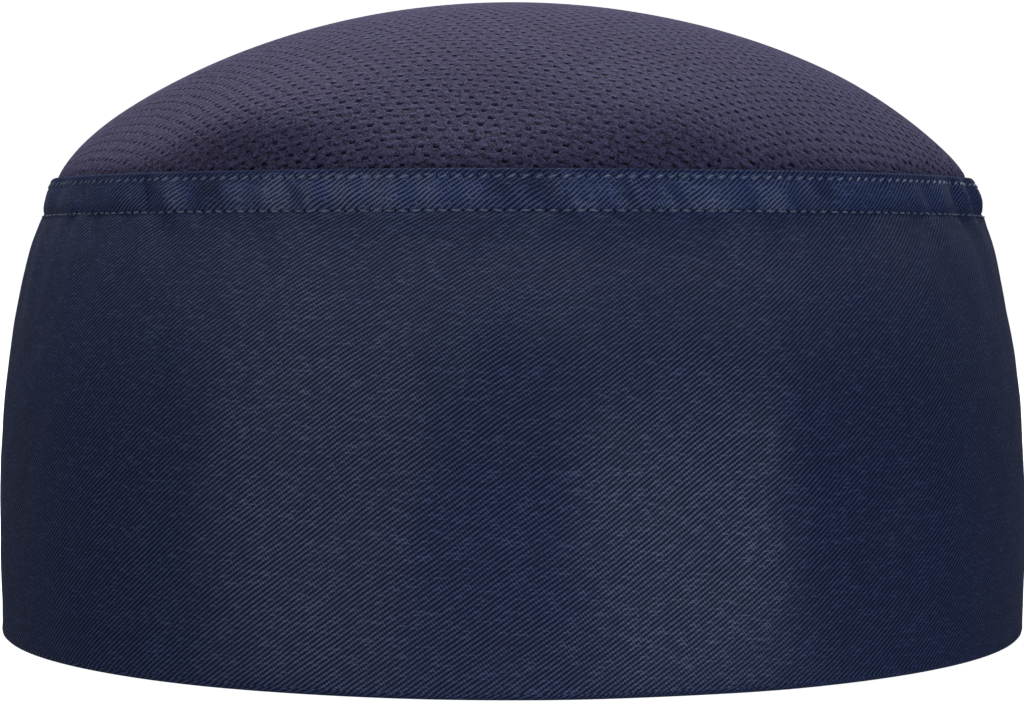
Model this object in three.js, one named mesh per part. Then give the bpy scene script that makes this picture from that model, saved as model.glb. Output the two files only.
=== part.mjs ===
// Chef skull cap: a head band of twill, folded double along its lower edge, and a dome of knitted mesh
// whose edge is sewn in between the two layers of the band. Millimetres, +Z up, front towards -Y.
// The cap stands on its hem at z = 0, with the origin under the middle of the head opening.
import * as THREE from "three";

// Head opening, measured outside the band where it is widest
const HEAD_WIDTH = 177.2;
const HEAD_LENGTH = 204;

// Top edge of the band, measured outside
const TOP_WIDTH = 160.4;
const TOP_LENGTH = 160;

// Band, from the hem up
const BAND_HEIGHT = 77.6;
const HEADER_HEIGHT = 6.4; // stiff stitched strip between the topstitching and the top edge
const HEM_TUCK = 1.6; // how far the hem curls in under the front and the back
const HEM_ROUND = 0.5; // rounding of the pressed fold that the cap stands on
const EDGE_ROUND = 0.3; // rounding of each turned-in top edge
const LINING_DROP = 0.7; // how much lower the inner layer ends than the outer one
const TAPER = 7; // height over which the inner layer closes up under the crown's edge

// Cloth
const TWILL = 1; // one layer of the band
const MESH = 1; // knitted mesh of the crown
const SEAM_GAP = 0.3; // between the mesh and each layer of the band
const SEAM_ALLOWANCE = 8.6; // mesh that is caught in the band, below the top edge

// Crown
const CROWN_RISE = 30.9; // from the top edge of the band to the top of the dome
const CROWN_FULLNESS = 0.745; // power of the dome's curve: 1 is a plain bowl, less has fuller shoulders

// Depth of the soft dents that the cloth keeps
const BAND_DENT = 1.5;
const CROWN_DENT = 2;

const SIDES = 64;
const DOME_ROWS = 11;

// How the band leans in from the hem to the topstitching.
// height: share of the way up. side, end: share of the whole lean at the sides, and at the front and back.
// tuck: share of the hem's curl.
const BAND_ROWS = [
  { height: 0.0, side: 0.0, end: 0.0, tuck: 1.0 },
  { height: 0.07, side: 0.0, end: 0.0, tuck: 0.42 },
  { height: 0.16, side: 0.0, end: 0.0, tuck: 0.0 },
  { height: 0.34, side: 0.03, end: 0.01, tuck: 0.0 },
  { height: 0.48, side: 0.09, end: 0.05, tuck: 0.0 },
  { height: 0.58, side: 0.14, end: 0.13, tuck: 0.0 },
  { height: 0.67, side: 0.22, end: 0.24, tuck: 0.0 },
  { height: 0.76, side: 0.33, end: 0.39, tuck: 0.0 },
  { height: 0.84, side: 0.44, end: 0.55, tuck: 0.0 },
  { height: 0.92, side: 0.59, end: 0.73, tuck: 0.0 },
  { height: 1.0, side: 0.85, end: 0.91, tuck: 0.0 },
];

// Soft dents in the band, and swells where the depth is negative.
// turn: place round the cap, as a share of a turn from the front towards +X. width: share of a turn.
// height, spread: middle and half height, as shares of the band's height. depth: share of BAND_DENT.
const BAND_DENTS = [
  { turn: -0.056, width: 0.036, height: 0.4, spread: 0.55, depth: 0.73 },
  { turn: 0.044, width: 0.034, height: 0.42, spread: 0.65, depth: 0.93 },
  { turn: 0.108, width: 0.034, height: 0.5, spread: 0.6, depth: 0.53 },
  { turn: 0.21, width: 0.05, height: 0.4, spread: 0.45, depth: -0.4 },
  { turn: 0.42, width: 0.06, height: 0.5, spread: 0.45, depth: 0.7 },
  { turn: 0.58, width: 0.06, height: 0.45, spread: 0.45, depth: 0.6 },
  { turn: 0.77, width: 0.06, height: 0.45, spread: 0.45, depth: -0.4 },
];

// Soft dents and swells in the crown, just above the seam, where it bulges over the band.
// turn, width: as for the band. depth: share of CROWN_DENT.
const CROWN_DENTS = [
  { turn: -0.165, width: 0.04, depth: 0.3 },
  { turn: -0.088, width: 0.05, depth: -1 },
  { turn: -0.012, width: 0.04, depth: 0.3 },
  { turn: 0.05, width: 0.038, depth: -0.62 },
  { turn: 0.125, width: 0.045, depth: 0.2 },
  { turn: 0.24, width: 0.05, depth: 0.32 },
  { turn: 0.35, width: 0.04, depth: -0.22 },
  { turn: 0.46, width: 0.04, depth: 0.35 },
  { turn: 0.56, width: 0.04, depth: -0.19 },
  { turn: 0.66, width: 0.045, depth: 0.33 },
  { turn: 0.75, width: 0.04, depth: -0.22 },
];
const CROWN_DENT_HEIGHT = 0.35; // share of the dome's rise at which its dents are deepest

// Places that follow from the sizes above
const STITCH_LEVEL = BAND_HEIGHT - HEADER_HEIGHT;
const SEAM_FLOOR = BAND_HEIGHT - SEAM_ALLOWANCE - SEAM_GAP;
const MESH_DEPTH = TWILL + SEAM_GAP;
const LINING_DEPTH = MESH_DEPTH + MESH + SEAM_GAP;
const SIDE_LEAN = (HEAD_WIDTH - TOP_WIDTH) / 2;
const END_LEAN = (HEAD_LENGTH - TOP_LENGTH) / 2;
const TOP_RADIUS = (TOP_WIDTH + TOP_LENGTH) / 4; // round stand-in for the top edge: profiles are drawn on it
const CROWN_RADIUS = TOP_RADIUS - MESH_DEPTH;

// Value of one column of a table at a level that lies between two of its rows.
function along(rows, height, column) {
  const above = Math.max(1, rows.findIndex((row) => row.height >= height));
  const [low, high] = [rows[above - 1], rows[above]];
  const share = (height - low.height) / (high.height - low.height);
  return THREE.MathUtils.lerp(low[column], high[column], share);
}

// Share of the lean that the band has reached at a level: by the table up to the topstitching, then straight.
function leanAt(level, column) {
  const stitched = BAND_ROWS.at(-1)[column];
  if (level >= STITCH_LEVEL) {
    return THREE.MathUtils.mapLinear(level, STITCH_LEVEL, BAND_HEIGHT, stitched, 1);
  }
  return along(BAND_ROWS, level / STITCH_LEVEL, column);
}

// A smooth hump that is 1 in the middle and 0 from one width away.
function hump(offset, width) {
  const share = Math.min(1, Math.abs(offset) / width);
  return (1 - share * share) ** 2;
}

// Distance between two places round the cap, in turns, the short way.
function turnsApart(a, b) {
  const apart = a - b;
  return apart - Math.round(apart);
}

// How far in the band's outer face is dented, at a place round the cap and a level.
function bandDent(turn, level) {
  const height = level / BAND_HEIGHT;
  const depths = BAND_DENTS.map((dent) => {
    const across = hump(turnsApart(turn, dent.turn), dent.width);
    return dent.depth * across * hump(height - dent.height, dent.spread);
  });
  return BAND_DENT * depths.reduce((sum, depth) => sum + depth, 0);
}

// How far in the dome is dented, at a place round the cap and a share of its rise.
function crownDent(turn, rise) {
  const depths = CROWN_DENTS.map((dent) => dent.depth * hump(turnsApart(turn, dent.turn), dent.width));
  const deepest = CROWN_DENT * depths.reduce((sum, depth) => sum + depth, 0);
  return deepest * hump(rise - CROWN_DENT_HEIGHT, CROWN_DENT_HEIGHT);
}

// Half width and half length of the band's outer face at a level.
function halfSizes(level) {
  const tuck = level < STITCH_LEVEL ? HEM_TUCK * along(BAND_ROWS, level / STITCH_LEVEL, "tuck") : 0;
  return {
    side: HEAD_WIDTH / 2 - SIDE_LEAN * leanAt(level, "side"),
    end: HEAD_LENGTH / 2 - END_LEAN * leanAt(level, "end") - tuck,
  };
}

// Point of the band at an angle from the front, a level above the hem and a depth behind its outer face.
// The depth is measured square to the cloth, so it grows where the cloth leans.
function bandPoint(angle, level, depth) {
  const { side, end } = halfSizes(level);
  const reach = HEM_ROUND;
  const above = halfSizes(Math.min(level + reach, BAND_HEIGHT));
  const below = halfSizes(Math.max(level - reach, 0));
  const front = Math.cos(angle) ** 2;
  const lean = (front * (below.end - above.end) + (1 - front) * (below.side - above.side)) / (2 * reach);
  const outward = new THREE.Vector2(Math.sin(angle) / side, -Math.cos(angle) / end).normalize();
  const inset = depth * Math.hypot(1, lean) + bandDent(angle / (2 * Math.PI), level);
  return new THREE.Vector3(side * Math.sin(angle), -end * Math.cos(angle), level)
    .sub(new THREE.Vector3(outward.x, outward.y, 0).multiplyScalar(inset));
}

// Point of the dome, whose profile is drawn on the round stand-in: the rim sets its outline at every angle.
function domePoint(angle, radius, level) {
  const rise = (level - BAND_HEIGHT) / CROWN_RISE;
  const share = (radius - crownDent(angle / (2 * Math.PI), rise)) / CROWN_RADIUS;
  const rim = bandPoint(angle, BAND_HEIGHT, MESH_DEPTH);
  return new THREE.Vector3(rim.x * share, rim.y * share, level);
}

// Turns a closed profile once round the axis, then moves each of its points to its place on the cap.
function sewnRound(profile, place) {
  const geometry = new THREE.LatheGeometry(profile, SIDES);
  geometry.deleteAttribute("normal");
  geometry.deleteAttribute("uv");
  geometry.rotateX(Math.PI / 2);
  const position = geometry.getAttribute("position");
  const point = new THREE.Vector3();
  for (let i = 0; i < position.count; i++) {
    point.fromBufferAttribute(position, i);
    const angle = Math.atan2(point.x, -point.y);
    const { x, y, z } = place(angle, Math.hypot(point.x, point.y), point.z);
    position.setXYZ(i, x, y, z);
  }
  geometry.computeVertexNormals();
  return geometry;
}

// A profile point of the band, drawn at a depth behind the outer face of the round stand-in.
function at(level, depth) {
  return new THREE.Vector2(TOP_RADIUS - depth, level);
}

function bandProfile() {
  const levels = BAND_ROWS.map((row) => row.height * STITCH_LEVEL).filter((level) => level > HEM_ROUND);
  const lower = levels.filter((level) => level < SEAM_FLOOR - TAPER);
  const doubled = 2 * TWILL;
  const inside = LINING_DEPTH + TWILL;
  const liningTop = BAND_HEIGHT - LINING_DROP;
  const headerMiddle = (STITCH_LEVEL + BAND_HEIGHT) / 2;
  return [
    at(0, HEM_ROUND),
    at(HEM_ROUND, 0),
    ...levels.map((level) => at(level, 0)),
    at(headerMiddle, 0),
    at(BAND_HEIGHT - EDGE_ROUND, 0),
    at(BAND_HEIGHT, EDGE_ROUND),
    at(BAND_HEIGHT, TWILL - EDGE_ROUND),
    at(BAND_HEIGHT - EDGE_ROUND, TWILL),
    at(STITCH_LEVEL, TWILL),
    at(SEAM_FLOOR, TWILL),
    at(SEAM_FLOOR, LINING_DEPTH),
    at(STITCH_LEVEL, LINING_DEPTH),
    at(liningTop - EDGE_ROUND, LINING_DEPTH),
    at(liningTop, LINING_DEPTH + EDGE_ROUND),
    at(liningTop, inside - EDGE_ROUND),
    at(liningTop - EDGE_ROUND, inside),
    at(STITCH_LEVEL, inside),
    at(SEAM_FLOOR, inside),
    at(SEAM_FLOOR - TAPER, doubled),
    ...lower.reverse().map((level) => at(level, doubled)),
    at(HEM_ROUND, doubled),
    at(0, doubled - HEM_ROUND),
    at(0, HEM_ROUND),
  ];
}

// Height of the dome above the band at a share of its radius.
function domeRise(share) {
  return CROWN_RISE * (1 - share * share) ** CROWN_FULLNESS;
}

// One face of the dome from rim to top, an offset in from the outer one. Rows are close together at the rim.
function domeFace(offset) {
  const points = [];
  for (let row = 1; row < DOME_ROWS; row++) {
    const share = Math.cos((row / DOME_ROWS) * (Math.PI / 2));
    const step = (1 - share) / DOME_ROWS;
    const slope = (domeRise(share + step) - domeRise(share - step)) / (2 * step * CROWN_RADIUS);
    const inward = new THREE.Vector2(slope, -1).normalize().multiplyScalar(offset);
    points.push(new THREE.Vector2(share * CROWN_RADIUS, BAND_HEIGHT + domeRise(share)).add(inward));
  }
  points.push(new THREE.Vector2(0, BAND_HEIGHT + CROWN_RISE - offset));
  return points;
}

function crownProfile() {
  const allowance = [BAND_HEIGHT - SEAM_ALLOWANCE, STITCH_LEVEL, BAND_HEIGHT];
  return [
    ...domeFace(MESH).reverse(),
    ...allowance.toReversed().map((level) => at(level, MESH_DEPTH + MESH)),
    ...allowance.map((level) => at(level, MESH_DEPTH)),
    ...domeFace(0),
  ];
}

function makeBand() {
  const twill = new THREE.MeshStandardMaterial({ color: 0x262d42, roughness: 0.92, metalness: 0 });
  const band = new THREE.Mesh(sewnRound(bandProfile(), (angle, radius, level) => {
    return bandPoint(angle, level, TOP_RADIUS - radius);
  }), twill);
  band.name = "band";
  return band;
}

function makeCrown() {
  const knit = new THREE.MeshStandardMaterial({ color: 0x3b384e, roughness: 0.95, metalness: 0 });
  const crown = new THREE.Mesh(sewnRound(crownProfile(), (angle, radius, level) => {
    if (level > BAND_HEIGHT) {
      return domePoint(angle, radius, level);
    }
    return bandPoint(angle, level, TOP_RADIUS - radius);
  }), knit);
  crown.name = "crown";
  return crown;
}

const cap = new THREE.Group();
cap.name = "chef_skull_cap";
cap.add(makeBand(), makeCrown());

export default cap;
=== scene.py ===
import math

import bmesh
import bpy
import numpy as np
from mathutils import Matrix, Vector


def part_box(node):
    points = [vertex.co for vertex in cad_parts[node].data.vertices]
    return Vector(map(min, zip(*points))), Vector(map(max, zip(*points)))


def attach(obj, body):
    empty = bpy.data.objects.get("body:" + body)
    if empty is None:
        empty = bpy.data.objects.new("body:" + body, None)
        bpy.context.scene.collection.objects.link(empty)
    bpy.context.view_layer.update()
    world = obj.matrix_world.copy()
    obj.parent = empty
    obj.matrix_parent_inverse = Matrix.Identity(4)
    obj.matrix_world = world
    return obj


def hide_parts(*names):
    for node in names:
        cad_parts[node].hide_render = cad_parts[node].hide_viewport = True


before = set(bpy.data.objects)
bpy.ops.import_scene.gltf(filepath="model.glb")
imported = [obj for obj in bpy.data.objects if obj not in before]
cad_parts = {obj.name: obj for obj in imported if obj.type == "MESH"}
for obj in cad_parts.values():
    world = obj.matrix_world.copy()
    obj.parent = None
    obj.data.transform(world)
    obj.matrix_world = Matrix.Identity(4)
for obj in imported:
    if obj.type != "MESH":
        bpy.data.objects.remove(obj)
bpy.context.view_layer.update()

MM = 0.001
rng = np.random.default_rng(11)

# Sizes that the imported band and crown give
band_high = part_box("band")[1]
crown_low, crown_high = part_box("crown")
BAND_HEIGHT = band_high[2]
HEAD_HALF_LENGTH = band_high[1]
CROWN_RISE = crown_high[2] - BAND_HEIGHT
SEAM_ALLOWANCE = BAND_HEIGHT - crown_low[2]

# Sizes of the same cap that a box doesn't give
HEAD_HALF_WIDTH = 88.6 * MM
TOP_HALF_WIDTH = 80.2 * MM
TOP_HALF_LENGTH = 80 * MM
HEADER_HEIGHT = 6.4 * MM
HEM_TUCK = 1.6 * MM
CROWN_FULLNESS = 0.745
TOP_RADIUS = (TOP_HALF_WIDTH + TOP_HALF_LENGTH) / 2
STITCH_LEVEL = BAND_HEIGHT - HEADER_HEIGHT
EDGE_STITCH_LEVEL = BAND_HEIGHT - 1.25 * MM

# Cloth, seen edge on
TWILL = 0.94 * MM
FOLDED_WALL = 2 * MM
CROWN_DEPTH = 1.15 * MM
LINING_DEPTH = 2.6 * MM
LINING_DROP = 0.7 * MM
TAPER = 7 * MM
KNIT = 0.8 * MM

# Threads of the twill, the lattice of the knit, and the stitches. SLIT_WIDTH, SLIT_HEIGHT: shares of a cell of the
# lattice. SLACK_SIDE, SLACK_FADE: how far left of the middle the slits begin to close, and over what way.
PICK = 0.38 * MM
END = 0.273 * MM
RIB_SHIFT = -math.pi / 3
KNIT_COLUMN = 1.315 * MM
KNIT_ROW = 1.725 * MM
KNIT_TURN = math.radians(-10)
SLIT_WIDTH = 0.8
SLIT_HEIGHT = 0.27
SLIT_SINK = 0.16 * MM
SLACK_SIDE = 28 * MM
SLACK_FADE = 26 * MM
STITCH_PITCH = 2.08 * MM
STITCH_LENGTH = 1.35 * MM
THREAD = 0.36 * MM

# Steps of the band's grid: round the cap, up the outer face, up the header, along a hidden face, and up the lining.
# The rows lie close from HEADER_ROWS below the topstitching up.
ROUND_STEPS = 448
OUTER_STEPS = 52
HEADER_STEPS = 16
HIDDEN_STEPS = 22
LINING_STEPS = 30
HEADER_ROWS = 2.4 * MM

# Lean of the band from the hem up. height: share of the way to the topstitching. side, end: share of the whole lean
# at the sides, and at the front and back. tuck: share of the hem's curl.
BAND_ROWS = [
    {"height": 0.0, "side": 0.0, "end": 0.0, "tuck": 1.0},
    {"height": 0.07, "side": 0.0, "end": 0.0, "tuck": 0.42},
    {"height": 0.16, "side": 0.0, "end": 0.0, "tuck": 0.0},
    {"height": 0.34, "side": 0.03, "end": 0.01, "tuck": 0.0},
    {"height": 0.48, "side": 0.09, "end": 0.05, "tuck": 0.0},
    {"height": 0.58, "side": 0.14, "end": 0.13, "tuck": 0.0},
    {"height": 0.67, "side": 0.22, "end": 0.24, "tuck": 0.0},
    {"height": 0.76, "side": 0.33, "end": 0.39, "tuck": 0.0},
    {"height": 0.84, "side": 0.44, "end": 0.55, "tuck": 0.0},
    {"height": 0.92, "side": 0.59, "end": 0.73, "tuck": 0.0},
    {"height": 1.0, "side": 0.85, "end": 0.91, "tuck": 0.0},
]

# Soft dents, and swells where the depth is negative. turn: place as a share of a turn from the front towards +X.
# width: share of a turn. height, spread: middle and half height, as shares of the band's height.
BAND_DENTS = [
    {"turn": -0.056, "width": 0.036, "height": 0.4, "spread": 0.55, "depth": 1.095 * MM},
    {"turn": 0.044, "width": 0.034, "height": 0.42, "spread": 0.65, "depth": 1.395 * MM},
    {"turn": 0.108, "width": 0.034, "height": 0.5, "spread": 0.6, "depth": 0.795 * MM},
    {"turn": 0.21, "width": 0.05, "height": 0.4, "spread": 0.45, "depth": -0.6 * MM},
    {"turn": 0.42, "width": 0.06, "height": 0.5, "spread": 0.45, "depth": 1.05 * MM},
    {"turn": 0.58, "width": 0.06, "height": 0.45, "spread": 0.45, "depth": 0.9 * MM},
    {"turn": 0.77, "width": 0.06, "height": 0.45, "spread": 0.45, "depth": -0.6 * MM},
]
CROWN_DENTS = [
    {"turn": -0.165, "width": 0.04, "depth": 0.96 * MM},
    {"turn": -0.088, "width": 0.05, "depth": -3.2 * MM},
    {"turn": -0.012, "width": 0.04, "depth": 0.96 * MM},
    {"turn": 0.05, "width": 0.038, "depth": -1.984 * MM},
    {"turn": 0.125, "width": 0.045, "depth": 0.64 * MM},
    {"turn": 0.24, "width": 0.05, "depth": 1.024 * MM},
    {"turn": 0.35, "width": 0.04, "depth": -0.704 * MM},
    {"turn": 0.46, "width": 0.04, "depth": 1.12 * MM},
    {"turn": 0.56, "width": 0.04, "depth": -0.608 * MM},
    {"turn": 0.66, "width": 0.045, "depth": 1.056 * MM},
    {"turn": 0.75, "width": 0.04, "depth": -0.704 * MM},
]
CROWN_DENT_HEIGHT = 0.31

# Colours. The pairs run from the darkest to the brightest yarn.
TWILL_DARK, TWILL_BRIGHT = (0.0032, 0.0075, 0.0300), (0.0358, 0.081, 0.295)
TWILL_VIOLET = (0.026, 0.026, 0.070)
TWILL_FADED = (0.010, 0.032, 0.060)
SEAM_SHADE = (0.003, 0.004, 0.009)
KNIT_DARK, KNIT_BRIGHT = (0.014, 0.012, 0.026), (0.130, 0.116, 0.243)
KNIT_FADED = (0.045, 0.037, 0.079)
SLIT_SHADE = (0.004, 0.003, 0.006)
THREAD_DARK, THREAD_BRIGHT = (0.085, 0.112, 0.200), (0.270, 0.335, 0.500)
PAPER_DARK, PAPER_BRIGHT = (0.86, 0.86, 0.86), (0.89, 0.89, 0.89)
PAPER_SHADE = (0.004, 0.004, 0.005)

# Grains for each metre of cloth, in the noises that vary the yarns and that place the header's painted highlights and
# painted fold shade
SLUB_ALONG, SLUB_ACROSS = 700.0, 3600.0
LINT_ALONG, LINT_ACROSS = 2600.0, 4200.0
FOLD_SHADE_ALONG, FOLD_SHADE_ACROSS = 150.0, 30.0
YARN_WANDER = 260.0
RIB_DRIFT, HEADER_DRIFT = 60.0, 170.0
WORN_FINE, WORN_BROAD = 150.0, 32.0
TWILL_HUE = 90.0
TWILL_PATCHES = 34.0
HEADER_HIGHLIGHTS = 75.0
KNIT_WANDER = 900.0
KNIT_FUZZ = 2300.0
KNIT_TUFTS = 950.0
KNIT_PATCHES = 60.0

# Painted shade along the seams: half heights of the rows of needle holes, of the groove of the topstitching and of the
# band's top edge. NEEDLE_HOLE, BACK_SEAM_LINE: half widths, in stitches. FOLD_LEAN: lean of the header's painted fold
# shade.
NEEDLE_ROW = 0.36 * MM
GROOVE_ROW = 0.7 * MM
TOP_EDGE = 0.9 * MM
NEEDLE_HOLE = 0.1
BACK_SEAM_LINE = 0.3
FOLD_LEAN = 0.44

# Relief of the finishes
TWILL_RELIEF = 0.16 * MM
NEEDLE_RELIEF = 0.2 * MM
KNIT_RELIEF = 0.26 * MM
THREAD_RELIEF = 0.05 * MM

# Unevenness of the sewn cloth. low, high: counts of waves round the cap, from and to. size: how deep.
# slant: turns that the waves drift for each metre of height. sway: the most that they drift either way.
PUCKERS = {"low": 34, "high": 78, "size": 0.62 * MM, "slant": 0.9}
GATHERS = {"low": 26, "high": 60, "size": 0.36 * MM, "slant": 0.4}
WAVES = {"low": 5, "high": 22, "size": 0.28 * MM, "slant": 0.5}
MOTTLE = {"low": 18, "high": 58, "size": 0.1 * MM, "slant": 0.0, "sway": 3.0}
GATHERS_REACH = 11 * MM
HEADER_FULLNESS = 0.2 * MM
TOPSTITCH_PULL, TOPSTITCH_VALLEY = 0.24 * MM, 0.75 * MM
EDGE_PULL, EDGE_VALLEY = 0.14 * MM, 0.5 * MM
BACK_SEAM_DEPTH = 0.4 * MM
BACK_SEAM_TURN = 0.0055
CROWN_WAVES = {"low": 5, "high": 19, "size": 0.3 * MM, "slant": 0.0}
CROWN_GATHERS = {"low": 30, "high": 70, "size": 0.18 * MM, "slant": 0.0}
CROWN_GATHERS_REACH = 9 * MM

# Camera and lights, placed round the cap. turn: degrees from the front towards +X.
CAMERA_DISTANCE = 550 * MM
CAMERA_HEIGHT = 64 * MM
CAMERA_PITCH = 0.030
SENSOR_WIDTH = 36.0
PHOTO_WIDTH = 1024
FOCAL_PIXELS = 3124
LAMPS = [
    {"name": "left_softbox", "turn": -44, "reach": 1.2, "height": 0.05, "size": (0.4, 1.2), "watts": 1.87,
     "colour": (0.96, 0.97, 1.02)},
    {"name": "upper_left_softbox", "turn": -42, "reach": 0.95, "height": 0.75, "size": (0.4, 0.35), "watts": 1.0,
     "colour": (0.96, 0.98, 1.0)},
    {"name": "right_softbox", "turn": 39, "reach": 1.2, "height": 0.05, "size": (0.3, 1.4), "watts": 3.65,
     "colour": (0.84, 0.98, 1.15)},
    {"name": "overhead_softbox", "turn": 180, "reach": 0.35, "height": 1.2, "size": (0.8, 0.8), "watts": 4.8,
     "colour": (0.96, 0.99, 1.02)},
    {"name": "rear_softbox", "turn": 180, "reach": 0.6, "height": 1.0, "size": (1.0, 0.5), "watts": 10.2,
     "colour": (1.0, 0.98, 0.98)},
    {"name": "light_from_table", "turn": 0, "reach": 0.5, "height": -0.35, "size": (1.2, 0.5), "watts": 0.6,
     "colour": (0.95, 0.98, 1.05)},
]
AIR_LIGHT = 0.06

# The pale floor, which curves up into a wall. DARK_UNDER_CAP: how far from the middle the cap keeps the light off it.
PAPER_GLOW = 0.97
DARK_UNDER_CAP = 78 * MM
DARK_FADE = 4 * MM
FLOOR_RADIUS = 2.4
FLOOR_BEND = 0.8
WALL_HEIGHT = 2.6


def smooth_column(rows, column, height):
    """One column of a table as a smooth curve through its rows."""
    x = np.array([row["height"] for row in rows])
    y = np.array([row[column] for row in rows])
    slope = np.gradient(y, x)
    height = np.clip(height, 0, 1)
    low = np.clip(np.searchsorted(x, height) - 1, 0, len(x) - 2)
    gap = x[low + 1] - x[low]
    t = (height - x[low]) / gap
    rise = y[low + 1] - y[low]
    bend = t * (1 - t) * ((1 - t) * (slope[low] * gap - rise) - t * (slope[low + 1] * gap - rise))
    return y[low] + rise * t + bend


def hump(offset, width):
    """1 in the middle, falling smoothly to 0 from one width away."""
    share = np.minimum(1, np.abs(offset) / width)
    return (1 - share ** 2) ** 2


def turns_apart(a, b):
    apart = a - b
    return apart - np.round(apart)


def ripples(turn, level, low, high, size, slant, sway=0.0):
    """Uneven waves round the cap, the same each time for the same counts."""
    chance = np.random.default_rng(100 * low + high)
    total = np.zeros(np.broadcast(turn, level).shape)
    for count in range(low, high):
        phase = chance.uniform(0, 2 * math.pi)
        strength = chance.uniform(0.3, 1)
        drift = slant * chance.uniform(0.5, 1.5) + sway * chance.uniform(-1, 1)
        total += strength * np.cos(2 * math.pi * count * (turn + drift * level) + phase)
    return size * total / math.sqrt(high - low)


def lean_at(level, column):
    below = smooth_column(BAND_ROWS, column, level / STITCH_LEVEL)
    stitched = BAND_ROWS[-1][column]
    above = stitched + (1 - stitched) * (level - STITCH_LEVEL) / HEADER_HEIGHT
    return np.where(level < STITCH_LEVEL, below, above)


def half_sizes(level):
    """Half width and half length of the band's outer face at a level."""
    tuck = HEM_TUCK * smooth_column(BAND_ROWS, "tuck", level / STITCH_LEVEL)
    side = HEAD_HALF_WIDTH - (HEAD_HALF_WIDTH - TOP_HALF_WIDTH) * lean_at(level, "side")
    end = HEAD_HALF_LENGTH - (HEAD_HALF_LENGTH - TOP_HALF_LENGTH) * lean_at(level, "end")
    return side, end - tuck


def band_dent(turn, level):
    height = level / BAND_HEIGHT
    return sum(
        dent["depth"] * hump(turns_apart(turn, dent["turn"]), dent["width"])
        * hump(height - dent["height"], dent["spread"])
        for dent in BAND_DENTS
    )


def band_point(turn, level, depth):
    """Places on the band: turns from the front, level above the hem, and depth behind the outer face, square to it."""
    angle = 2 * math.pi * turn
    side, end = half_sizes(level)
    reach = 0.5 * MM
    side_above, end_above = half_sizes(np.minimum(level + reach, BAND_HEIGHT))
    side_below, end_below = half_sizes(np.maximum(level - reach, 0))
    front = np.cos(angle) ** 2
    lean = (front * (end_below - end_above) + (1 - front) * (side_below - side_above)) / (2 * reach)
    across, along = np.sin(angle) / side, -np.cos(angle) / end
    size = np.hypot(across, along)
    inset = depth * np.hypot(1, lean) + band_dent(turn, level)
    x = side * np.sin(angle) - inset * across / size
    y = -end * np.cos(angle) - inset * along / size
    return np.stack(np.broadcast_arrays(x, y, level), axis=-1)


def band_unevenness(turn, level):
    """How far the sewn cloth is drawn in: valleys along the stitches and the seam at the back, a full header, puckers
    and gathers by the stitches."""
    header = (level - STITCH_LEVEL) / HEADER_HEIGHT
    in_header = hump(header - 0.45, 0.75)
    under_header = np.where(level < STITCH_LEVEL, np.exp((level - STITCH_LEVEL) / GATHERS_REACH), 0)
    valleys = TOPSTITCH_PULL * np.exp(-((level - STITCH_LEVEL) / TOPSTITCH_VALLEY) ** 2)
    valleys = valleys + EDGE_PULL * np.exp(-((level - EDGE_STITCH_LEVEL) / EDGE_VALLEY) ** 2)
    return (
        valleys
        - HEADER_FULLNESS * in_header
        + in_header * ripples(turn, level, **PUCKERS)
        + under_header * ripples(turn, level, **GATHERS)
        + ripples(turn, level, **WAVES)
        + ripples(turn, level, **MOTTLE)
        + BACK_SEAM_DEPTH * hump(turns_apart(turn, 0.5), BACK_SEAM_TURN)
    )


def arc(centre, radius, start, stop, count):
    """Points of a profile on an arc: (level, depth), angles in degrees from straight down towards the inside."""
    return [
        (centre[0] - radius * math.cos(math.radians(a)), centre[1] + radius * math.sin(math.radians(a)))
        for a in np.linspace(start, stop, count)
    ]


def climb(low, high, depth, count):
    """Points of a profile along one face of the cloth. depth is a number, or a function of the level."""
    return [(level, depth(level) if callable(depth) else depth) for level in np.linspace(low, high, count)]


def lining_outer(level):
    """Depth of the lining's hidden face, which parts from the outer layer to take the crown's edge."""
    floor = BAND_HEIGHT - SEAM_ALLOWANCE
    share = np.clip((floor - level) / TAPER, 0, 1)
    share = share * share * (3 - 2 * share)
    return LINING_DEPTH + (FOLDED_WALL - TWILL - LINING_DEPTH) * share


def band_profile():
    """The folded strip seen end on, once round: the outer layer up and down, then the lining up and down."""
    half = FOLDED_WALL / 2
    roll = TWILL / 2
    top = BAND_HEIGHT - roll
    lining_top = BAND_HEIGHT - LINING_DROP - roll
    return (
        climb(half, STITCH_LEVEL - 3 * MM, 0, OUTER_STEPS)
        + climb(STITCH_LEVEL - HEADER_ROWS, top, 0, HEADER_STEPS)
        + arc((top, roll), roll, -90 - 36, -90 - 180 + 36, 4)
        + climb(top, half, TWILL, HIDDEN_STEPS)
        + arc((half, half), half - TWILL, -90 + 45, 90 - 45, 3)
        + climb(half, lining_top, lining_outer, HIDDEN_STEPS)
        + arc((lining_top, LINING_DEPTH + roll), roll, -90 - 36, -90 - 180 + 36, 4)
        + climb(lining_top, half, lambda level: lining_outer(level) + TWILL, LINING_STEPS)
        + arc((half, half), half, 90 - 30, -90 + 30, 5)
    )


def flat_grid(bm, columns, rows):
    """A flat strip of cloth in a bmesh, with the column and the row that each of its corners stands for."""
    bmesh.ops.create_grid(bm, x_segments=columns, y_segments=rows, size=0.5)
    bm.verts.ensure_lookup_table()
    corners = np.array([v.co for v in bm.verts])
    column = np.rint((corners[:, 0] + 0.5) * columns).astype(int)
    row = np.rint((corners[:, 1] + 0.5) * rows).astype(int)
    return column, row


def lay_map(bm, name, values):
    """A UV map from one pair of numbers for each corner, laid before the cloth is sewn up."""
    layer = bm.loops.layers.uv.new(name)
    bm.verts.index_update()
    for face in bm.faces:
        for loop in face.loops:
            loop[layer].uv = values[loop.vert.index]


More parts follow.
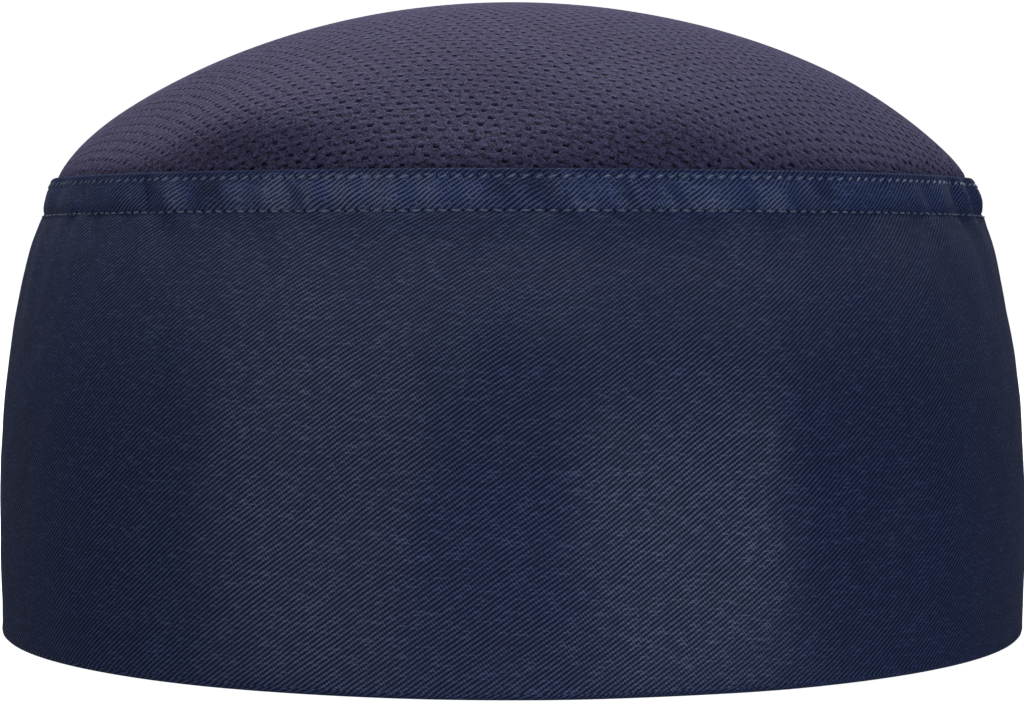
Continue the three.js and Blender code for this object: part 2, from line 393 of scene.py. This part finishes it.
def finish_piece(bm, name, material, node=None):
    """Makes the object from its bmesh, rides it on the cap and hides the imported part that it stands for, if any."""
    for face in bm.faces:
        face.smooth = True
    mesh = bpy.data.meshes.new(name)
    bm.to_mesh(mesh)
    bm.free()
    piece = bpy.data.objects.new(name, mesh)
    bpy.context.scene.collection.objects.link(piece)
    mesh.materials.append(material)
    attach(piece, "root")
    if node:
        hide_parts(node)
    return piece


def stitch_marks():
    """Places along the rows of stitches: turns, the stitches counted up to each, and how many there are in all."""
    turn = np.linspace(-0.5, 0.5, 4001)
    path = band_point(turn, np.full_like(turn, STITCH_LEVEL), 0)
    run = np.concatenate([[0], np.cumsum(np.linalg.norm(np.diff(path, axis=0), axis=1))])
    count = round(run[-1] / STITCH_PITCH)
    return turn, run / run[-1] * count, count


def make_band(material):
    profile = band_profile()
    rows = len(profile)
    turn = np.linspace(-0.5, 0.5, ROUND_STEPS + 1)[None, :]
    level = np.array([point[0] for point in profile])[:, None]
    depth = np.array([point[1] for point in profile])[:, None]
    uneven = band_unevenness(turn, level)
    uneven[:, -1] = uneven[:, 0]
    faded = np.clip(level / (3 * MM), 0, 1)
    places = band_point(turn, level, depth + faded * uneven)
    places = np.concatenate([places, places[:1]])
    steps = np.linalg.norm(np.diff(places, axis=0), axis=2)
    run = np.concatenate([np.zeros((1, ROUND_STEPS + 1)), np.cumsum(steps, axis=0)])
    hem = band_point(turn[0], np.zeros(ROUND_STEPS + 1), 0)
    hem_run = np.concatenate([[0], np.cumsum(np.linalg.norm(np.diff(hem, axis=0), axis=1))])
    marks_turn, marks, _ = stitch_marks()

    bm = bmesh.new()
    column, row = flat_grid(bm, ROUND_STEPS, rows)
    lay_map(bm, "cloth", np.stack([hem_run[column], run[row, column]], axis=1))
    levels = np.append(level[:, 0], level[0, 0])
    lay_map(bm, "sewing", np.stack([np.interp(turn[0][column], marks_turn, marks), levels[row]], axis=1))
    for vert, place in zip(bm.verts, places[row, column]):
        vert.co = place
    bmesh.ops.remove_doubles(bm, verts=bm.verts, dist=1e-7)
    bmesh.ops.recalc_face_normals(bm, faces=bm.faces)
    band = finish_piece(bm, "twill_band", material, "band")
    return band


def dome_curve():
    """Distance along the cloth from the top of the dome, with the share of the radius and the rise that it reaches."""
    swing = np.linspace(0, math.pi / 2, 400)
    share = np.sin(swing)
    rise = CROWN_RISE * np.maximum(1 - share ** 2, 0) ** CROWN_FULLNESS
    radius = share * (TOP_RADIUS - CROWN_DEPTH)
    run = np.concatenate([[0], np.cumsum(np.hypot(np.diff(radius), np.diff(rise)))])
    return run, share, rise


def crown_places(flat):
    """Moves points of the flat round panel onto the dome, and past its rim down behind the band."""
    run, share, rise = dome_curve()
    reach = np.linalg.norm(flat, axis=1)
    turn = np.arctan2(flat[:, 0], -flat[:, 1]) / (2 * math.pi)
    rim = band_point(turn, np.full_like(turn, BAND_HEIGHT), CROWN_DEPTH)
    part = np.interp(reach, run, share)
    height = np.interp(reach, run, rise)
    dents = sum(dent["depth"] * hump(turns_apart(turn, dent["turn"]), dent["width"]) for dent in CROWN_DENTS)
    dents = dents * hump(height / CROWN_RISE - CROWN_DENT_HEIGHT, CROWN_DENT_HEIGHT)
    by_seam = np.exp((reach - run[-1]) / CROWN_GATHERS_REACH) * hump(height / CROWN_RISE - 0.16, 0.16)
    dents = dents + by_seam * ripples(turn, 0, **CROWN_GATHERS)
    dents = dents + part * (1 - part ** 8) * ripples(turn, 0, **CROWN_WAVES)
    part = part - dents / TOP_RADIUS
    dome = np.stack([rim[:, 0] * part, rim[:, 1] * part, BAND_HEIGHT + height], axis=1)
    level = BAND_HEIGHT - np.maximum(reach - run[-1], 0)
    tucked = band_point(turn, level, CROWN_DEPTH)
    return np.where((reach > run[-1])[:, None], tucked, dome)


def make_crown(material):
    """One round panel of mesh, cut from the flat knit with all its slits, then drawn over the dome."""
    rim_run = dome_curve()[0][-1]
    panel = rim_run + SEAM_ALLOWANCE
    half_columns = math.ceil(panel / KNIT_COLUMN) + 1
    half_rows = math.ceil(panel / KNIT_ROW) + 1
    bm = bmesh.new()
    column, row = flat_grid(bm, 2 * half_columns, 2 * half_rows)
    flat = np.stack([(column - half_columns) * KNIT_COLUMN, (row - half_rows) * KNIT_ROW], axis=1)
    for vert, (x, y) in zip(bm.verts, flat):
        vert.co = (x, y, 0)
    outside = [face for face in bm.faces if all(v.co.length > panel for v in face.verts)]
    bmesh.ops.delete(bm, geom=outside, context="FACES")
    for vert in bm.verts:
        if vert.co.length > panel:
            vert.co *= panel / vert.co.length

    open_reach = rim_run + 1.5 * MM
    slits = []
    for face in bm.faces:
        middle = face.calc_center_median()
        cell = math.floor(middle.x / KNIT_COLUMN) + math.floor(middle.y / KNIT_ROW)
        if cell % 2 == 0 and middle.length < open_reach:
            slits.append(face)
    bmesh.ops.inset_individual(bm, faces=slits, thickness=0.1 * KNIT_COLUMN)
    for face in slits:
        middle = face.calc_center_median()
        slack = min(1, max(0, (-SLACK_SIDE - middle.x) / SLACK_FADE))
        drawn = (0.2 + 0.8 * min(1, middle.length / rim_run) ** 4) * (1 - 0.6 * slack)
        width = SLIT_WIDTH * KNIT_COLUMN * rng.uniform(0.7, 1.1) * (0.5 + 0.5 * drawn)
        height = SLIT_HEIGHT * KNIT_ROW * rng.uniform(0.35, 1.2) * drawn
        shift = rng.uniform(-0.12, 0.12, 2) * KNIT_COLUMN
        for vert in face.verts:
            offset = vert.co - middle
            vert.co.x = middle.x + shift[0] + math.copysign(width / 2, offset.x)
            vert.co.y = middle.y + shift[1] + math.copysign(height / 2, offset.y)
            vert.co.z = -SLIT_SINK
    bmesh.ops.delete(bm, geom=slits, context="FACES")

    turned = Matrix.Rotation(KNIT_TURN, 4, "Z")
    knit = np.array([(v.co.x, v.co.y) for v in bm.verts])
    sunk = np.array([v.co.z for v in bm.verts])
    lay_map(bm, "cloth", knit)
    bmesh.ops.transform(bm, matrix=turned, verts=bm.verts)
    places = crown_places(np.array([(v.co.x, v.co.y) for v in bm.verts]))
    centre = np.array([0, 0, BAND_HEIGHT - 40 * MM])
    inward = centre - places
    inward /= np.linalg.norm(inward, axis=1)[:, None]
    places = places - inward * sunk[:, None]
    for vert, place in zip(bm.verts, places):
        vert.co = place
    bmesh.ops.recalc_face_normals(bm, faces=bm.faces)
    if sum(face.normal.z for face in bm.faces) < 0:
        bmesh.ops.reverse_faces(bm, faces=bm.faces)
    crown = finish_piece(bm, "mesh_crown", material, "crown")
    wall = crown.modifiers.new("wall", "SOLIDIFY")
    wall.thickness = KNIT
    wall.offset = -1
    2 * panel
    2 * panel
    math.pi * panel ** 2
    return crown


def make_stitches(name, level, tilt, material):
    """One row of lockstitches: the threads that lie on the outer face, and those on the lining."""
    marks_turn, marks, count = stitch_marks()
    single = bmesh.new()
    single.loops.layers.uv.new("thread")
    bmesh.ops.create_uvsphere(
        single, u_segments=6, v_segments=6, radius=1, calc_uvs=True, matrix=Matrix.Rotation(math.pi / 2, 4, "Y")
    )
    form = np.array([v.co for v in single.verts])
    stitch = bpy.data.meshes.new(name + "_form")
    single.to_mesh(stitch)
    single.free()
    bm = bmesh.new()
    for _ in range(2 * count):
        bm.from_mesh(stitch)
    bpy.data.meshes.remove(stitch)

    places = []
    for face_depth, outward in ((0, 1), (LINING_DEPTH + TWILL, -1)):
        slope = np.radians(tilt + rng.uniform(-9, 9, count))[:, None] * outward
        length = STITCH_LENGTH * rng.uniform(0.8, 1.1, count)[:, None]
        along = form[None, :, 0] * length / 2
        across = form[None, :, 1] * THREAD / 2
        out = form[None, :, 2] * THREAD * 0.6
        run = along * np.cos(slope) - across * np.sin(slope)
        rise = along * np.sin(slope) + across * np.cos(slope)
        middle = np.arange(count)[:, None] + 0.5
        turn = np.interp(middle + run / STITCH_PITCH, marks, marks_turn)
        skin = band_unevenness(turn, level + rise)
        places.append(band_point(turn, level + rise, face_depth + skin - outward * (out + THREAD * 0.12)))
    for vert, place in zip(bm.verts, np.concatenate(places).reshape(-1, 3)):
        vert.co = place
    bmesh.ops.recalc_face_normals(bm, faces=bm.faces)
    return finish_piece(bm, name, material)


class Tone:
    """A value that varies over a surface. Sums and products of these add Math nodes to its material."""

    def __init__(self, finish, socket):
        self.finish = finish
        self.socket = socket

    def maths(self, operation, *values):
        return self.finish.node("ShaderNodeMath", values, operation=operation)

    def __add__(self, other):
        return self.maths("ADD", self, other)

    def __radd__(self, other):
        return self.maths("ADD", other, self)

    def __sub__(self, other):
        return self.maths("SUBTRACT", self, other)

    def __rsub__(self, other):
        return self.maths("SUBTRACT", other, self)

    def __mul__(self, other):
        return self.maths("MULTIPLY", self, other)

    def __rmul__(self, other):
        return self.maths("MULTIPLY", other, self)

    def __truediv__(self, other):
        return self.maths("DIVIDE", self, other)

    def __pow__(self, other):
        return self.maths("POWER", self, other)

    def __mod__(self, other):
        return self.maths("FLOORED_MODULO", self, other)

    def floor(self):
        return self.maths("FLOOR", self)

    def sine(self):
        return self.maths("SINE", self)

    def cosine(self):
        return self.maths("COSINE", self)

    def size(self):
        return self.maths("ABSOLUTE", self)

    def at_least(self, other):
        return self.maths("MAXIMUM", self, other)

    def at_most(self, other):
        return self.maths("MINIMUM", self, other)


class Finish:
    """A material in the making, whose nodes all come from one method."""

    def __init__(self, name, **constants):
        self.material = bpy.data.materials.new(name)
        self.material.use_nodes = True
        self.tree = self.material.node_tree
        self.shader = next(n for n in self.tree.nodes if n.type == "BSDF_PRINCIPLED")
        for socket, value in constants.items():
            self.feed(socket.replace("_", " "), value)

    def node(self, kind, values, output=0, **settings):
        made = self.tree.nodes.new(kind)
        for name, value in settings.items():
            setattr(made, name, value)
        for key, value in values.items() if isinstance(values, dict) else enumerate(values):
            self.join(made.inputs[key], value)
        return Tone(self, made.outputs[output])

    def join(self, socket, value):
        if isinstance(value, Tone):
            self.tree.links.new(value.socket, socket)
        else:
            socket.default_value = value

    def feed(self, socket, value):
        self.join(self.shader.inputs[socket], value)

    def parts(self, place):
        """The first two numbers of a place."""
        first = self.node("ShaderNodeSeparateXYZ", [place])
        return first, Tone(self, first.socket.node.outputs[1])

    def cloth_map(self, name):
        """A place on one of the piece's own UV maps, and its two numbers."""
        place = self.node("ShaderNodeUVMap", {}, uv_map=name)
        return place, *self.parts(place)

    def noise(self, place, scale, detail=2.0, roughness=0.5):
        return self.node(
            "ShaderNodeTexNoise",
            {"Vector": place, "Scale": scale, "Detail": detail, "Roughness": roughness},
        )

    def mix(self, share, low, high):
        """A colour between two others, each of them three numbers or a tone."""
        ends = [(*colour, 1) if isinstance(colour, tuple) else colour for colour in (low, high)]
        return self.node("ShaderNodeMix", {0: share, 6: ends[0], 7: ends[1]}, output=2, data_type="RGBA")

    def vector(self, x, y, z=0.0):
        return self.node("ShaderNodeCombineXYZ", [x, y, z])

    def bump(self, height, distance, strength=1.0, normal=None):
        values = {"Height": height, "Distance": distance, "Strength": strength}
        if normal:
            values["Normal"] = normal
        return self.node("ShaderNodeBump", values)


def near(value, middle, width):
    """1 where a tone is at a middle, falling to 0 one width away."""
    return (1 - (value - middle).size() / width).at_least(0.0)


def twill_finish():
    """Navy twill: each yarn that runs round the cap floats over two picks and dips under one, each row of them one
    pick on, so that the floats line up in ribs that rise to the right."""
    finish = Finish("navy_twill", Specular_IOR_Level=0.12, Coat_Roughness=0.52, Coat_IOR=2.0, Sheen_Weight=0.04,
                    Sheen_Roughness=0.5)
    place, u, v = finish.cloth_map("cloth")
    _, stitch, level = finish.cloth_map("sewing")
    wander = finish.noise(place, YARN_WANDER, 3.0)
    in_header = near(level, STITCH_LEVEL + HEADER_HEIGHT / 2, HEADER_HEIGHT * 0.7)
    drawn = (finish.noise(place, RIB_DRIFT, 2.0) - 0.5) * 3
    drawn = drawn + (finish.noise(place, HEADER_DRIFT, 1.0) - 0.5) * in_header * 5
    row_place = v / END + (wander - 0.5) * 0.5
    row = row_place.floor()
    across = 1 - ((row_place - row) * 2 - 1) ** 2.0
    steps = (u / PICK - row + (wander - 0.5) * 0.9 + drawn) / 3
    phase = (steps - steps.floor()) * 3
    along = (phase * (math.pi / 2)).sine().at_least(0.0) ** 0.7
    weft = ((phase - 2) * math.pi).sine().at_least(0.0) * 0.22
    bead = finish.node("ShaderNodeTexWhiteNoise", {"Vector": finish.vector(row, steps.floor())}, noise_dimensions="2D")
    strand = finish.node("ShaderNodeTexWhiteNoise", {"W": row}, noise_dimensions="1D")
    slub = finish.noise(finish.vector(u * SLUB_ALONG, v * SLUB_ACROSS), 1.0, 2.0)
    lint = finish.noise(finish.vector(u * LINT_ALONG, v * LINT_ACROSS), 1.0, 1.0)
    yarn = across * along * (0.72 + 0.56 * bead) + weft
    slope = (u / PICK - row_place + (wander - 0.5) * 0.9 + drawn) / 3
    ribs = (slope * (2 * math.pi) + RIB_SHIFT).cosine() * 0.5 + 0.5
    rise = ((slope * 2 + row_place) * (2 * math.pi) - RIB_SHIFT).cosine()
    worn = finish.noise(place, WORN_FINE, 3.0, 0.6) * 0.6 + finish.noise(place, WORN_BROAD, 1.0) * 0.4
    weave = ribs * (0.25 + 1.1 * worn) + (ribs + 0.25) * rise * (0.08 + bead * 0.3) + yarn * 0.1 + 0.24 - 0.5 * worn
    weave = weave + bead ** 9.0 * across * 0.5

    beside_hole = ((stitch + 0.5) % 1.0 - 0.5).size()
    on_rows = near(level, STITCH_LEVEL, NEEDLE_ROW) + near(level, EDGE_STITCH_LEVEL, NEEDLE_ROW)
    needle = (near(beside_hole, 0.0, NEEDLE_HOLE) * on_rows * 2.0).at_most(1.0)
    groove = near(level, STITCH_LEVEL, GROOVE_ROW) * 0.3

    patches = finish.noise(place, TWILL_PATCHES, 2.0)
    hue = finish.noise(place, TWILL_HUE, 2.0)
    # The valleys between the ribs are darker, partly the weave's own pattern and partly painted shade in them.
    lit = (weave - 0.12) * (0.4 + 0.5 * slub + 0.25 * bead) + strand * 0.04 + (lint - 0.45) * 0.32
    # Painted light and shade on the header: its yarns are drawn brighter all over, with painted highlight patches, and
    # darker along streaks of painted fold shade.
    header_highlights = finish.noise(place, HEADER_HIGHLIGHTS, 1.0)
    fold_shade_noise = finish.noise(finish.vector((u + v * FOLD_LEAN) * FOLD_SHADE_ALONG, v * FOLD_SHADE_ACROSS), 1.0, 1.0)
    fold_shade = ((fold_shade_noise - 0.56) * 7).at_least(0.0).at_most(1.0)
    # Painted shade along the band's top edge, where it meets the crown; there the coat is also taken off and the yarn
    # made rougher.
    shaded_top_edge = near(level, BAND_HEIGHT, TOP_EDGE)
    lit = lit * (1 + in_header * (1.24 + (header_highlights - 0.5) * 2.4)) * (1 - fold_shade * in_header * 0.6) * (1 - shaded_top_edge * 0.5)
    lit = lit.at_least(0.0).at_most(1.0)
    colour = finish.mix(lit, TWILL_DARK, TWILL_BRIGHT)
    colour = finish.mix((hue - 0.35).at_least(0.0) * 0.5, colour, TWILL_VIOLET)
    colour = finish.mix((patches - 0.45).at_least(0.0) * 0.5, colour, TWILL_FADED)
    back_seam = near(stitch, 0.0, BACK_SEAM_LINE) + near(stitch, stitch_marks()[2], BACK_SEAM_LINE)
    colour = finish.mix((needle * 0.75 + groove + back_seam * 0.8).at_most(0.9), colour, SEAM_SHADE)
    finish.feed("Base Color", colour)
    finish.feed("Roughness", 0.6 - yarn * 0.12 + shaded_top_edge * 0.4)
    finish.feed("Coat Weight", (lit * 0.97 + 0.03) * (1 - needle) * (1 - shaded_top_edge))
    normal = finish.bump(weave + slub * 0.2, TWILL_RELIEF, 0.8)
    finish.feed("Normal", finish.bump(1 - needle, NEEDLE_RELIEF, 0.7, normal))
    return finish.material


def knit_finish():
    """Dusty violet-navy knitted mesh: fuzzy yarn, painted shade inside each slit, with a paler loop above it. The
    painted
    shade fades where the slits close: towards the top, and to the left."""
    finish = Finish("knitted_mesh", Roughness=0.85, Specular_IOR_Level=0.15, Sheen_Weight=0.1, Sheen_Roughness=0.4,
                    Sheen_Tint=(0.75, 0.7, 1.0, 1.0))
    rim_run = float(dome_curve()[0][-1])
    place, u, v = finish.cloth_map("cloth")
    course = v / KNIT_ROW
    row = course.floor()
    beside = (u / KNIT_COLUMN + row + 0.5) / 2
    beside = (beside - beside.floor()) * 2 - 1
    above = course - row - 0.5
    wander = finish.noise(place, KNIT_WANDER, 2.0)
    ring = ((beside / (SLIT_WIDTH * 0.62)) ** 2.0 + (above / (SLIT_HEIGHT * 0.75)) ** 2.0) ** 0.5
    slack = ((-SLACK_SIDE - u) / SLACK_FADE).at_least(0.0).at_most(1.0)
    closed = 1 - ((u * u + v * v) ** 0.5 / rim_run).at_most(1.0) ** 4.0
    inside = (0.98 - slack * 0.4 - closed * 0.45 - ring + (wander - 0.5) * 0.9).at_least(0.0).at_most(1.0)
    cell = finish.node("ShaderNodeTexWhiteNoise", {"Vector": finish.vector((u / KNIT_COLUMN).floor(), row)},
                       noise_dimensions="2D")
    loop = near(above, 0.34, 0.22) * near(beside, 0.0, 0.75) * (0.5 + cell)
    left = ((u / KNIT_COLUMN + course) * (2 * math.pi) + wander * 5).sine()
    right = ((u / KNIT_COLUMN - course) * (2 * math.pi) + wander * 5).sine()
    loops = loop * 0.7 + left.size() * 0.2 + right.size() * 0.2
    fuzz = finish.noise(place, KNIT_FUZZ, 3.0, 0.65)
    tufts = finish.noise(place, KNIT_TUFTS, 3.0, 0.6)
    patches = finish.noise(place, KNIT_PATCHES, 2.0)
    lit = loops * 0.6 + (fuzz - 0.5) * 2.6 + (tufts - 0.5) * 1.9 + 0.28
    colour = finish.mix(lit.at_least(0.0).at_most(1.0), KNIT_DARK, KNIT_BRIGHT)
    colour = finish.mix((patches - 0.4).at_least(0.0) * 0.6, colour, KNIT_FADED)
    colour = finish.mix(inside * 0.85, colour, SLIT_SHADE)
    finish.feed("Base Color", colour)
    finish.feed("Roughness", 0.9 - loops * 0.08)
    finish.feed("Normal", finish.bump(loops + fuzz * 0.9 + tufts * 0.7 - inside * 0.6, KNIT_RELIEF, 0.8))
    return finish.material


def thread_finish():
    """Sewing thread, a little paler than the twill, with its two plies twisted."""
    finish = Finish("sewing_thread", Roughness=0.5, Specular_IOR_Level=0.4, Sheen_Weight=0.1)
    _, u, v = finish.cloth_map("thread")
    twist = ((u * 2.0 + v * 6.0) * (2 * math.pi)).sine() * 0.5 + 0.5
    object_place = finish.node("ShaderNodeTexCoord", {}, output=3)
    shade = finish.noise(object_place, 500.0, 1.0)
    colour = finish.mix(twist * 0.5 + shade * 0.5, THREAD_DARK, THREAD_BRIGHT)
    finish.feed("Base Color", colour)
    finish.feed("Roughness", 0.55 - twist * 0.1)
    finish.feed("Normal", finish.bump(twist, THREAD_RELIEF, 0.8))
    return finish.material


def pale_finish():
    """Pale paper that glows, except under the cap, where no light falls."""
    finish = Finish("pale_paper", Roughness=0.9, Specular_IOR_Level=0.1)
    place = finish.node("ShaderNodeTexCoord", {}, output=3)
    grain = finish.noise(place, 6.0, 2.0)
    finish.feed("Base Color", finish.mix(grain, PAPER_DARK, PAPER_BRIGHT))
    x, y = finish.parts(place)
    from_middle = (x * x + y * y) ** 0.5
    open_air = ((from_middle - DARK_UNDER_CAP) / DARK_FADE).at_least(0.0).at_most(1.0)
    finish.feed("Emission Color", finish.mix(open_air, PAPER_SHADE, (1.0, 1.0, 1.0)))
    finish.feed("Emission Strength", PAPER_GLOW)
    return finish.material


def make_studio():
    """A round pale floor that curves up into a wall on every side."""
    bm = bmesh.new()
    outline = [(0, 0), (FLOOR_RADIUS, 0)]
    outline += [
        (FLOOR_RADIUS + FLOOR_BEND * math.sin(a), FLOOR_BEND - FLOOR_BEND * math.cos(a))
        for a in np.linspace(0.15, math.pi / 2, 9)
    ]
    outline.append((FLOOR_RADIUS + FLOOR_BEND, WALL_HEIGHT))
    verts = [bm.verts.new((x, 0, z)) for x, z in outline]
    edges = [bm.edges.new(pair) for pair in zip(verts, verts[1:])]
    bmesh.ops.spin(bm, geom=verts + edges, cent=(0, 0, 0), axis=(0, 0, 1), angle=2 * math.pi, steps=96, use_merge=True)
    bmesh.ops.remove_doubles(bm, verts=bm.verts, dist=1e-5)
    bmesh.ops.recalc_face_normals(bm, faces=bm.faces)
    bmesh.ops.reverse_faces(bm, faces=bm.faces)
    for face in bm.faces:
        face.smooth = True
    mesh = bpy.data.meshes.new("studio")
    bm.to_mesh(mesh)
    bm.free()
    studio = bpy.data.objects.new("studio", mesh)
    bpy.context.scene.collection.objects.link(studio)
    mesh.materials.append(pale_finish())
    studio.visible_diffuse = False
    studio.visible_glossy = False
    studio.visible_shadow = False


def aim(thing, target):
    direction = Vector(target) - thing.location
    thing.rotation_euler = direction.to_track_quat("-Z", "Y").to_euler()


def make_lights():
    for lamp in LAMPS:
        data = bpy.data.lights.new(lamp["name"], "AREA")
        data.shape = "RECTANGLE"
        data.size, data.size_y = lamp["size"]
        data.energy = lamp["watts"]
        data.color = lamp["colour"]
        light = bpy.data.objects.new(lamp["name"], data)
        bpy.context.scene.collection.objects.link(light)
        turn = math.radians(lamp["turn"])
        light.location = (lamp["reach"] * math.sin(turn), -lamp["reach"] * math.cos(turn), lamp["height"])
        aim(light, (0, 0, BAND_HEIGHT / 2))
    world = bpy.data.worlds.new("studio_air")
    bpy.context.scene.world = world
    world.use_nodes = True
    sky = next(n for n in world.node_tree.nodes if n.type == "BACKGROUND")
    sky.inputs["Color"].default_value = (1, 1, 1, 1)
    sky.inputs["Strength"].default_value = AIR_LIGHT


def make_camera():
    data = bpy.data.cameras.new("camera")
    data.sensor_width = SENSOR_WIDTH
    data.lens = FOCAL_PIXELS * SENSOR_WIDTH / PHOTO_WIDTH
    camera = bpy.data.objects.new("camera", data)
    bpy.context.scene.collection.objects.link(camera)
    camera.location = (0, -CAMERA_DISTANCE, CAMERA_HEIGHT)
    camera.rotation_euler = (math.pi / 2 - CAMERA_PITCH, 0, 0)
    bpy.context.scene.camera = camera


bpy.context.scene.view_settings.view_transform = "Standard"
make_camera()
make_lights()
make_studio()
make_band(twill_finish())
make_crown(knit_finish())
thread = thread_finish()
make_stitches("topstitching", STITCH_LEVEL, 0, thread)
make_stitches("edge_stitching", EDGE_STITCH_LEVEL, 24, thread)
